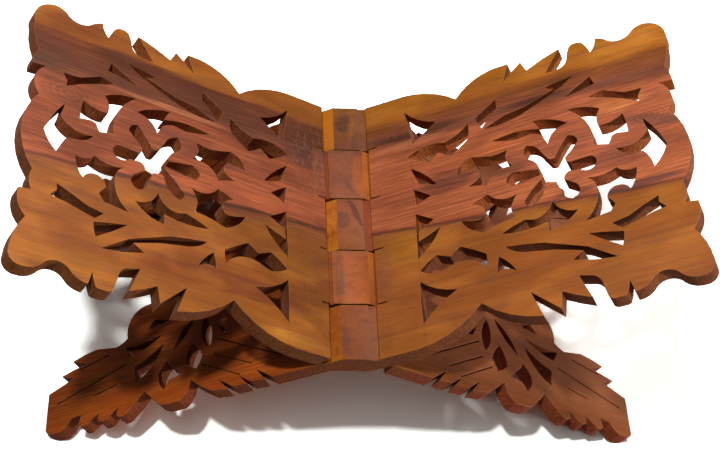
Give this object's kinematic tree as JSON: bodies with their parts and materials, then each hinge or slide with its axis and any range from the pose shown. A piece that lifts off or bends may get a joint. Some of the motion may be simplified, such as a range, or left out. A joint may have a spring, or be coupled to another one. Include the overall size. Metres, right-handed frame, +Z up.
{
  "type": "folding bookstand",
  "caption": "Folding wooden bookstand: crossed pierced leaves on a carved knuckle hinge hold a book open in a V and close flat.",
  "frame": {"origin": "on the table, at the bottom centre of the open stand, straight under the middle of the hinge", "axes": "+Z up, +Y along the hinge from the front edge to the back edge, +X across the stand to the right seen from the front"},
  "size_m": [0.3046, 0.152, 0.1476],
  "materials": {
    "left_wood": "oiled and polished hardwood with dark heartwood bands",
    "right_wood": "oiled and polished hardwood with dark heartwood bands"
  },
  "bodies": {
    "left_leaf": {"left_leaf": "left_wood"},
    "right_leaf": {"right_leaf": "right_wood"}
  },
  "joints": [
    {"name": "fold", "type": "hinge", "parent": "left_leaf", "child": "right_leaf", "pos_m": [0, 0, 0.07055], "axis": [0, -1, 0], "range_deg": [0, 125]}
  ]
}
